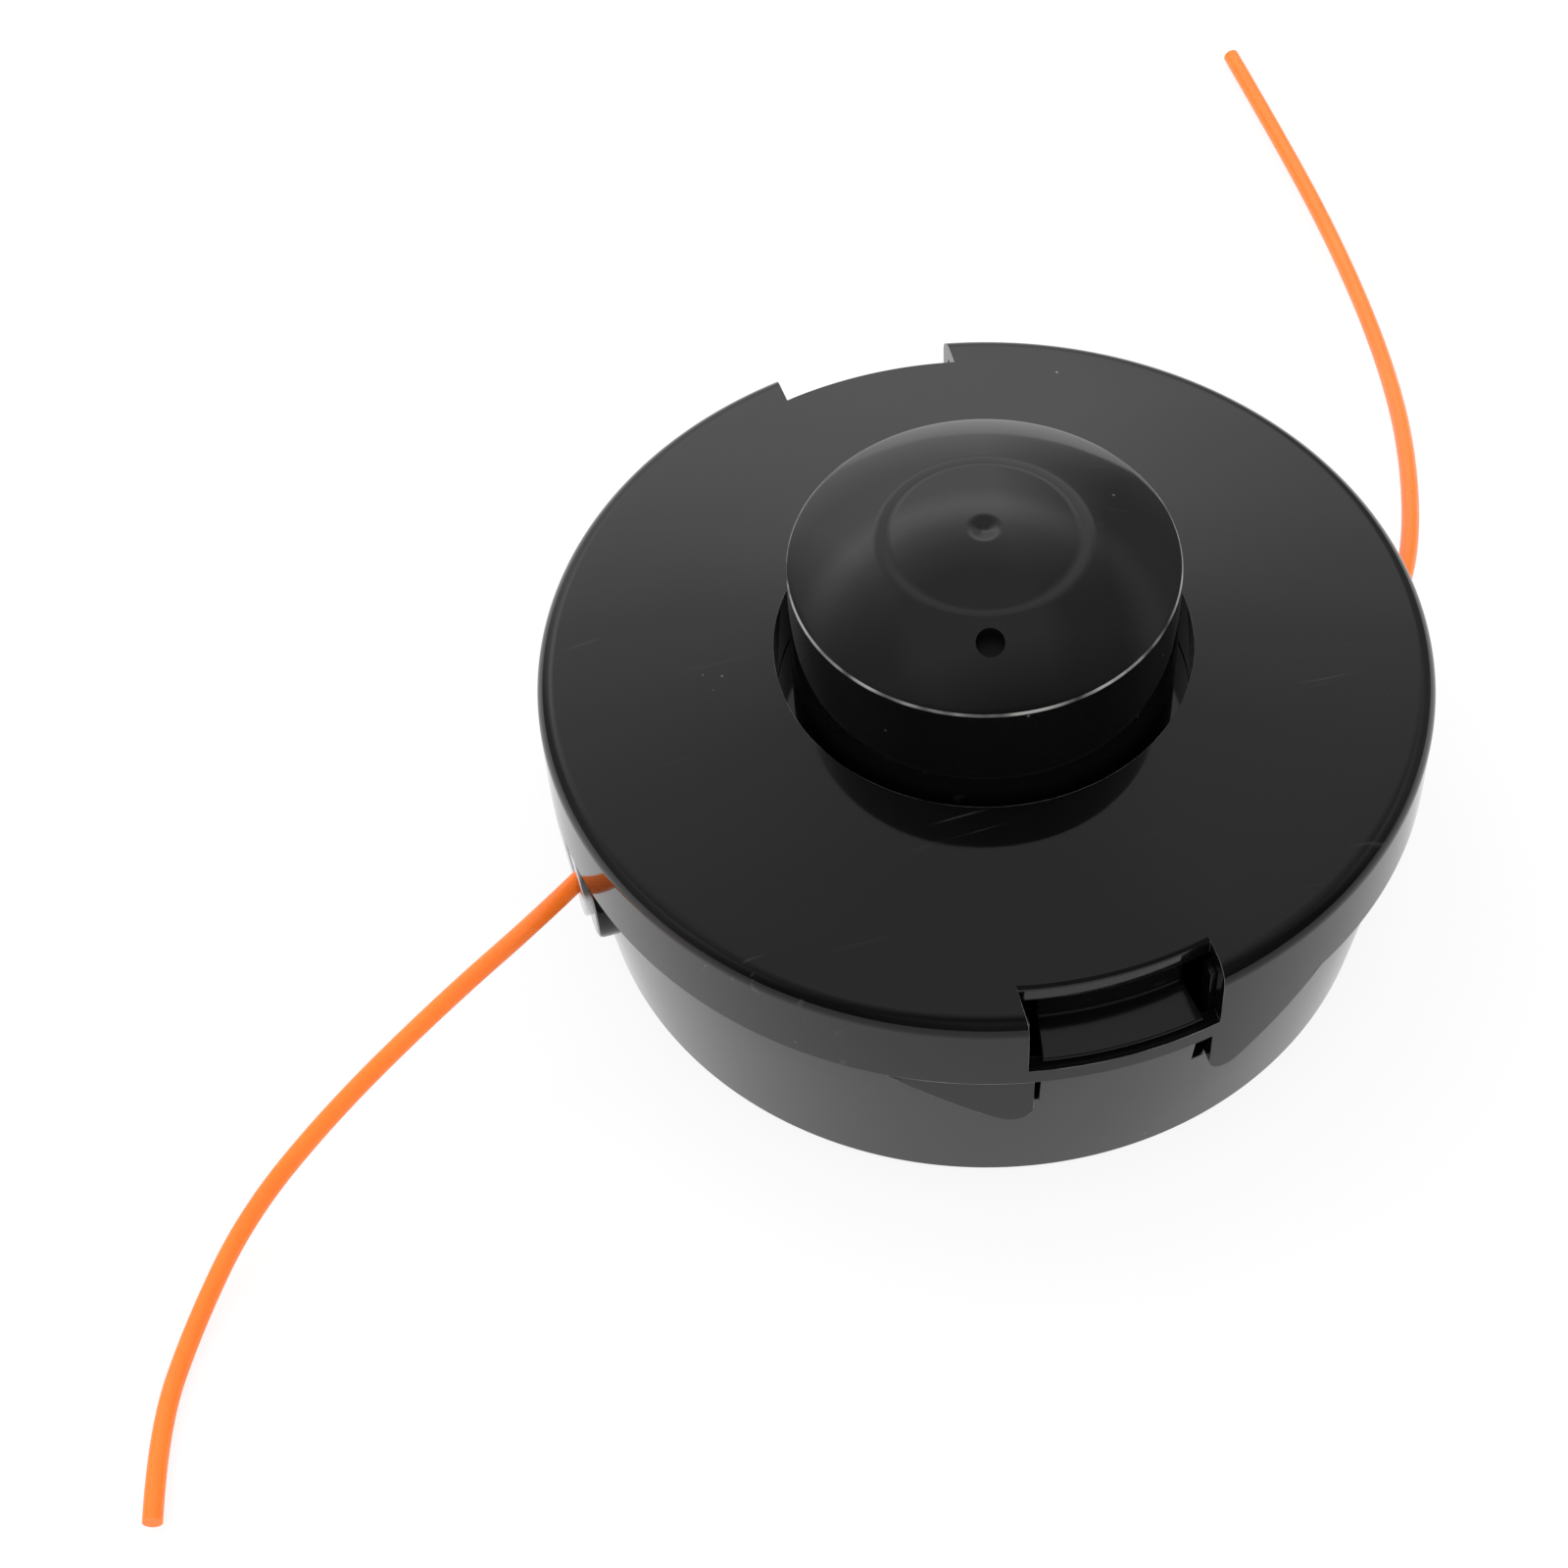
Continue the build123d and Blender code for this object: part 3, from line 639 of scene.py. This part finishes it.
# Spring and washer: a bright coil round the post and a stamped steel ring on top of it, which push
# the spool back up after a bump. The coil closes up as the knob is pressed.
spring_steel = worn_metal("bright_spring_steel", (0.56, 0.56, 0.58), 0.25, 0.4)
dress("thrust_washer", spring_steel)
spring_low, spring_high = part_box("compression_spring")
spring_wire = 0.0008
spring = coil(
    "coil_spring",
    spring_low.z + spring_wire,
    radius=spring_high.y - spring_wire,
    height=spring_high.z - spring_low.z - 2 * spring_wire,
    turns=5.0,
    wire=spring_wire,
    sides=16,
    reverse=False,
    material=spring_steel,
)
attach(spring, "housing_body")
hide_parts("compression_spring")
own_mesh(spring)

# Line: nylon monofilament, extruded and dyed orange right through, so light enters it a little way.
# Two lengths are wound on the spool, one in each channel.
line_nylon = bpy.data.materials.new("orange_monofilament")
line_nylon.use_nodes = True
line_tree = line_nylon.node_tree
line_surface = line_tree.nodes["Principled BSDF"]
line_place = line_tree.nodes.new("ShaderNodeTexCoord")
line_tone = line_tree.nodes.new("ShaderNodeMix")
line_tone.data_type = "RGBA"
line_tone.inputs["A"].default_value = (0.96, 0.175, 0.012, 1)
line_tone.inputs["B"].default_value = (1.0, 0.215, 0.020, 1)
line_tree.links.new(noise_node(line_tree, line_place, 90, 3), line_tone.inputs["Factor"])
line_tree.links.new(line_tone.outputs["Result"], line_surface.inputs["Base Color"])
line_streaks = noise_node(line_tree, line_place, 300, 2)
line_gloss = ramp_node(line_tree, line_streaks, 0.3, 0.7, 0.26, 0.34)
line_tree.links.new(line_gloss, line_surface.inputs["Roughness"])
line_bump = line_tree.nodes.new("ShaderNodeBump")
line_bump.inputs["Strength"].default_value = 0.03
line_bump.inputs["Distance"].default_value = 0.0001
line_tree.links.new(line_streaks, line_bump.inputs["Height"])
line_tree.links.new(line_bump.outputs[0], line_surface.inputs["Normal"])
line_surface.inputs["Subsurface Weight"].default_value = 0.35
line_surface.inputs["Subsurface Radius"].default_value = (1.0, 0.35, 0.1)
line_surface.inputs["Subsurface Scale"].default_value = 0.0012
for node in ("wound_line_lower", "wound_line_upper"):
    dress(node, line_nylon)

# Spool: a black nylon bobbin with a channel for each length of line. Its sleeve slides and turns on
# the post, dogs on its flanges step it round, and the knob is pressed over the spigot on top.
knob_radius, core_inner = 0.0235, 0.0205
flange_radius, flange_bottom, flange_top = 0.0455, 0.0164, 0.0320
channel_edges = (0.0300, 0.0248, 0.0236, 0.0184)
sleeve_inner, sleeve_outer = 0.0093, 0.0109
spigot_inner, spigot_outer, spigot_top = 0.0186, 0.0202, 0.0400
spool_plastic = black_nylon("spool_nylon", gloss=0.06, marks=0.5, specks=0.25)
spool_loop = [
    (spigot_inner, channel_edges[0]),
    (spigot_inner, spigot_top),
    (spigot_outer, spigot_top),
    (spigot_outer, flange_top),
    (flange_radius, flange_top),
]
for upper, lower in (channel_edges[:2], channel_edges[2:]):
    spool_loop += [(flange_radius, upper), (knob_radius, upper), (knob_radius, lower), (flange_radius, lower)]
spool_loop += [(flange_radius, flange_bottom), (core_inner, flange_bottom), (core_inner, channel_edges[0])]
sleeve_loop = [
    (sleeve_inner, flange_bottom),
    (sleeve_outer, flange_bottom),
    (sleeve_outer, spigot_top),
    (sleeve_inner, spigot_top),
]


def all_round(*loops):
    """One span that goes right round the axis."""
    return lambda radius: 0.0, lambda radius: 2 * pi, 208, loops


park_slot_turn, park_slot_length, park_slot_width = radians(30), 0.0100, 0.0028
park_slot_reach = flange_radius - park_slot_length / 4
park_slot_bottom, park_slot_height = flange_bottom - 0.0005, 0.0166
spool_cutters = []
for half_turn in (0, pi):
    spin = Matrix.Rotation(park_slot_turn + half_turn, 3, "Z")
    spool_cutters.append(
        prism(
            stadium(park_slot_length, park_slot_width),
            lambda u, v, w, spin=spin: spin
            @ Vector((park_slot_reach + u, v, park_slot_bottom + park_slot_height * w)),
        )
    )
spool_meshes = [edged(turned([all_round(spool_loop)]), moulded_edge, spool_cutters)]
spool_meshes.append(edged(turned([all_round(sleeve_loop)]), moulded_edge))
spool_blocks = (
    dict(count=6, inner=0.0101, outer=0.0194, width=0.0018, bottom=0.0300, top=0.0380),
    dict(dog_ring, bottom=0.0315, top=0.0354, turn=radians(-20)),
    dict(dog_ring, bottom=0.0148, top=0.0170, turn=radians(20)),
)
spool_meshes += [ring_of_blocks(**blocks) for blocks in spool_blocks]
spool = moulding("line_spool", spool_meshes, spool_plastic, painted_edge_highlight)
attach(spool, "spool_body")
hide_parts("bump_spool")

# Bump knob: a domed black nylon cup pressed over the spool's spigot, which stands through the cover
# and is knocked on the ground to feed line. A shallow round panel on it has the mark of the mould's
# gate, with the rings that a lathe left in the mould round it.
knob_rim, knob_wall_depth = 0.0557, 0.0028
crown_top = 0.0621
panel_edge, panel_depth = 0.0124, 0.00035
gate_radius, gate_tip, gate_depth = 0.0015, 0.0006, 0.0005
dot_radius, dot_reach, dot_turn, dot_depth = 0.0017, 0.0156, radians(-105), 0.0008
dome_radius = (knob_radius**2 + (crown_top - knob_rim) ** 2) / (2 * (crown_top - knob_rim))


def dome_height(radius):
    """Height of the knob's domed end at a radius."""
    return crown_top - dome_radius + sqrt(dome_radius**2 - radius**2)


def dome_run(inner, outer, drop, steps):
    """Points down the dome from one radius to another, sunk by drop."""
    radii = [inner + (outer - inner) * step / steps for step in range(steps + 1)]
    return [(radius, dome_height(radius) - drop) for radius in radii]


knob_plastic = black_nylon("knob_nylon", gloss=0.06, marks=0.5, specks=0.25)
gate_floor = crown_top - panel_depth - gate_depth
knob_loop = [(0, gate_floor), (gate_tip, gate_floor)]
knob_loop += dome_run(gate_radius, panel_edge - 2 * panel_depth, panel_depth, 12)
knob_loop += dome_run(panel_edge, knob_radius, 0, 14)
knob_loop += [(knob_radius, flange_top), (core_inner, flange_top)]
knob_loop += reversed(dome_run(0, core_inner, knob_wall_depth, 10))
dot_centre = (dot_reach * cos(dot_turn), dot_reach * sin(dot_turn))
dot_outline = [(dot_radius * cos(pi * step / 16), dot_radius * sin(pi * step / 16)) for step in range(32)]
dot_floor = dome_height(dot_reach) - dot_depth
dot_cutter = prism(
    dot_outline,
    lambda u, v, w: (dot_centre[0] + u, dot_centre[1] + v, dot_floor + (crown_top - dot_floor) * w),
)
# The knob's rounded edges take the painted edge highlight.
knob_mesh = edged(turned([all_round(knob_loop)]), moulded_edge, [dot_cutter], highlit_edges=1)
shaded = black_nylon("shaded_dot", gloss=0.6, marks=0.0, specks=0.0)
shaded.node_tree.nodes["Principled BSDF"].inputs["Specular IOR Level"].default_value = 0.1
knob = moulding("bump_knob_cap", [knob_mesh], knob_plastic, painted_edge_highlight, shaded)
for face in knob.data.polygons:
    in_dot = (face.center.xy - Vector(dot_centre)).length < dot_radius
    if in_dot and face.center.z < dome_height(face.center.xy.length) - dot_depth / 4:
        face.material_index = 2
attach(knob, "spool_body")
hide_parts("bump_knob")

# Cover: a slightly crowned black nylon disc with a skirt, polished all over. It clips over the drum
# by the two latch windows in its edge, and a collar round its hole holds the spool down.
cover_radius, skirt_inner, skirt_bottom = 0.0550, 0.0530, 0.0275
cover_edge, cover_edge_round, cover_plate = 0.0392, 0.0025, 0.0024
hole_radius, hole_edge, collar_outer, collar_bottom = 0.0256, 0.0414, 0.0280, 0.0323
window_half, window_inner, window_sill, window_lip = 0.0116, 0.0501, 0.0298, 0.0007


def cover_top(radius):
    """Height of the cover's crowned top at a radius."""
    return cover_edge + (hole_edge - cover_edge) * (cover_radius - radius) / (cover_radius - hole_radius)


cover_plastic = black_nylon("cover_nylon", gloss=0.05, marks=0.7, specks=0.6)
window_top = (window_inner, cover_top(window_inner))
window_under = (window_inner, cover_top(window_inner) - cover_plate)
lip = rounded(window_under, window_top, (hole_radius, hole_edge), window_lip, 5)
sill_run = [
    (skirt_inner, window_sill),
    (skirt_inner, skirt_bottom),
    (cover_radius, skirt_bottom),
    (cover_radius, window_sill),
]
edge_run = rounded(sill_run[-1], (cover_radius, cover_edge), (hole_radius, hole_edge), cover_edge_round, 10)
plate_run = [
    lip[-1],
    (hole_radius, hole_edge),
    (hole_radius, collar_bottom),
    (collar_outer, collar_bottom),
    (collar_outer, cover_top(collar_outer) - cover_plate),
    window_under,
]
under_run = [(skirt_inner, cover_top(skirt_inner) - cover_plate)]
full_loop = sill_run + edge_run + plate_run + under_run
window_cap = [sill_run[-1], *edge_run, *reversed(lip), window_under, *under_run, sill_run[0]]
cover_spans, cover_caps = [], []
for latch_turn in latch_turns:
    window_first = edge_at(latch_turn, -window_half, window_inner)
    window_last = edge_at(latch_turn, window_half, window_inner)
    next_window = edge_at(latch_turn + pi, -window_half, window_inner)
    cover_spans += [
        (window_first, window_last, 16, [sill_run, plate_run + lip[:-1]]),
        (window_last, next_window, 96, [full_loop]),
    ]
    cover_caps += [(window_first, window_cap), (window_last, window_cap)]
# The cover's rounded edges take the painted edge highlight.
cover_meshes = [edged(turned(cover_spans, cover_caps), moulded_edge, highlit_edges=1)]
cover_meshes.append(ring_of_blocks(**dog_ring, bottom=0.0336, top=0.0390))
cover = moulding("clip_cover", cover_meshes, cover_plastic, painted_edge_highlight)
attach(cover, "housing_body")
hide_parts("cover")

# Free tails of line: they leave the eyelets on opposite sides, droop to the table and keep some of
# the curl that they had on the spool. Both ends are cut square.
line_diameter = 0.0024
tail_routes = {
    "left": [
        (-0.0506, -0.0024, 0.0200),
        (-0.0584, -0.0080, 0.0199),
        (-0.0740, -0.0155, 0.0166),
        (-0.0900, -0.0228, 0.0105),
        (-0.1030, -0.0305, 0.0045),
        (-0.1120, -0.0420, 0.0013),
        (-0.1180, -0.0540, 0.0013),
        (-0.1203, -0.0653, 0.0013),
    ],
    "right": [
        (0.0506, -0.0015, 0.0200),
        (0.0570, 0.0045, 0.0199),
        (0.0656, 0.0165, 0.0176),
        (0.0747, 0.0388, 0.0126),
        (0.0810, 0.0620, 0.0070),
        (0.0851, 0.0880, 0.0028),
        (0.0865, 0.1130, 0.0013),
        (0.0863, 0.1380, 0.0013),
    ],
}
for side, route in tail_routes.items():
    tail_curve = bpy.data.curves.new(f"line_{side}", "CURVE")
    tail_curve.dimensions = "3D"
    tail_curve.bevel_depth = line_diameter / 2
    tail_curve.bevel_resolution = 8
    tail_curve.use_fill_caps = True
    tail_spline = tail_curve.splines.new("NURBS")
    tail_spline.points.add(len(route) - 1)
    for knot, place in zip(tail_spline.points, route):
        knot.co = (*place, 1)
    tail_spline.order_u = 3
    tail_spline.use_endpoint_u = True
    tail_spline.resolution_u = 16
    tail_curve.materials.append(line_nylon)
    tail = bpy.data.objects.new(f"free_line_{side}", tail_curve)
    bpy.context.scene.collection.objects.link(tail)
    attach(tail, "housing_body")
    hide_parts(f"line_tail_{side}")

# Table: a broad white sheet under the head. It shows white to the camera and, dimmed towards the
# front, in reflections, and keeps a soft shadow. From below it is clear, to show the underside.
table_size = 3.0
table_shown, table_dimming, table_dim_from = 0.85, 0.48, -0.10
table_mesh = bmesh.new()
bmesh.ops.create_grid(table_mesh, x_segments=1, y_segments=1, size=table_size)
table = plain_object("table", table_mesh)
table_white = bpy.data.materials.new("white_table")
table_white.use_nodes = True
table_tree = table_white.node_tree
table_surface = table_tree.nodes["Principled BSDF"]
table_surface.inputs["Base Color"].default_value = (0.92, 0.92, 0.92, 1)
table_surface.inputs["Roughness"].default_value = 0.8
table_glow = table_tree.nodes.new("ShaderNodeEmission")
table_place = table_tree.nodes.new("ShaderNodeTexCoord")
table_axes = table_tree.nodes.new("ShaderNodeSeparateXYZ")
table_tree.links.new(table_place.outputs["Object"], table_axes.inputs[0])
table_dimmed = ramp_node(table_tree, table_axes.outputs[1], table_dim_from, 0.0, table_dimming, 0.0)
seen = table_tree.nodes.new("ShaderNodeLightPath")
table_dimmed = math_node(table_tree, "MULTIPLY", table_dimmed, seen.outputs["Is Glossy Ray"])
table_tree.links.new(math_node(table_tree, "SUBTRACT", 1.0, table_dimmed), table_glow.inputs["Strength"])
seen_rays = math_node(table_tree, "MAXIMUM", seen.outputs["Is Camera Ray"], seen.outputs["Is Glossy Ray"])
seen_rays = math_node(table_tree, "MAXIMUM", seen_rays, seen.outputs["Is Transmission Ray"])
table_mix = table_tree.nodes.new("ShaderNodeMixShader")
table_tree.links.new(math_node(table_tree, "MULTIPLY", seen_rays, table_shown), table_mix.inputs[0])
table_tree.links.new(table_surface.outputs[0], table_mix.inputs[1])
table_tree.links.new(table_glow.outputs[0], table_mix.inputs[2])
table_side = table_tree.nodes.new("ShaderNodeNewGeometry")
table_clear = table_tree.nodes.new("ShaderNodeBsdfTransparent")
table_one_sided = table_tree.nodes.new("ShaderNodeMixShader")
table_tree.links.new(table_side.outputs["Backfacing"], table_one_sided.inputs[0])
table_tree.links.new(table_mix.outputs[0], table_one_sided.inputs[1])
table_tree.links.new(table_clear.outputs[0], table_one_sided.inputs[2])
table_tree.links.new(table_one_sided.outputs[0], table_tree.nodes["Material Output"].inputs["Surface"])
table.data.materials.append(table_white)

# Light: a white room all round and one broad soft lamp at the back left. In the polished plastic the
# room shows as a bright band above the horizon that darkens overhead.
room_level = 1.3
room_bands = (
    (0.0, 0.8),
    (0.3, 0.9),
    (0.5, 1.2),
    (0.60, 1.7),
    (0.66, 1.5),
    (0.72, 1.05),
    (0.80, 0.70),
    (0.89, 0.47),
    (1.0, 0.50),
)
room = bpy.data.worlds.new("white_room")
bpy.context.scene.world = room
room.use_nodes = True
room_tree = room.node_tree
room_light = room_tree.nodes["Background"]
room_light.inputs["Color"].default_value = (1, 1, 1, 1)
room_place = room_tree.nodes.new("ShaderNodeTexCoord")
room_axes = room_tree.nodes.new("ShaderNodeSeparateXYZ")
room_tree.links.new(room_place.outputs["Generated"], room_axes.inputs[0])
room_height = room_tree.nodes.new("ShaderNodeValToRGB")
room_tree.links.new(room_axes.outputs[2], room_height.inputs[0])
while len(room_height.color_ramp.elements) < len(room_bands):
    room_height.color_ramp.elements.new(1.0)
for band, (height, level) in zip(room_height.color_ramp.elements, room_bands):
    band.position = height
    band.color = (level, level, level, 1)
room_ray = room_tree.nodes.new("ShaderNodeLightPath")
room_behind = ramp_node(room_tree, room_axes.outputs[1], -0.45, 0.0, 0.10, 1.0)
room_across = math_node(room_tree, "ABSOLUTE", room_axes.outputs[0], 0.0)
room_sides = ramp_node(room_tree, room_across, 0.30, 0.65, 1.0, 0.30)
room_mirrored = math_node(room_tree, "MULTIPLY", room_height.outputs[0], room_behind)
room_mirrored = math_node(room_tree, "MULTIPLY", room_mirrored, room_sides)
room_mirrored = math_node(room_tree, "SUBTRACT", room_mirrored, room_level)
room_mirrored = math_node(room_tree, "MULTIPLY", room_mirrored, room_ray.outputs["Is Glossy Ray"])
room_tree.links.new(math_node(room_tree, "ADD", room_mirrored, room_level), room_light.inputs["Strength"])
lamp_data = bpy.data.lights.new("soft_lamp", "AREA")
lamp_data.size = 0.8
lamp_data.energy = 4
lamp = bpy.data.objects.new("soft_lamp", lamp_data)
lamp.location = (-0.5, 0.7, 0.9)
lamp.visible_glossy = False
lamp.rotation_euler = (-lamp.location).to_track_quat("-Z", "Y").to_euler()
bpy.context.scene.collection.objects.link(lamp)

# Camera: where the picture was taken from, above the front left of the head, as fitted to the
# outlines of the cover, the knob and the drum.
camera_data = bpy.data.cameras.new("camera")
camera_data.sensor_width = 36
camera_data.lens = 72
camera = bpy.data.objects.new("camera", camera_data)
camera_right = Vector((0.9630, -0.2661, -0.0437))
camera_up = Vector((0.2367, 0.7563, 0.6100))
camera_back = camera_right.cross(camera_up)
camera_place = Matrix.Translation((-0.07699, -0.23549, 0.33442))
camera_axes = Matrix((camera_right, camera_up, camera_back)).transposed()
camera.matrix_world = camera_place @ camera_axes.to_4x4()
bpy.context.scene.collection.objects.link(camera)
bpy.context.scene.camera = camera
bpy.context.scene.view_settings.view_transform = "Standard"
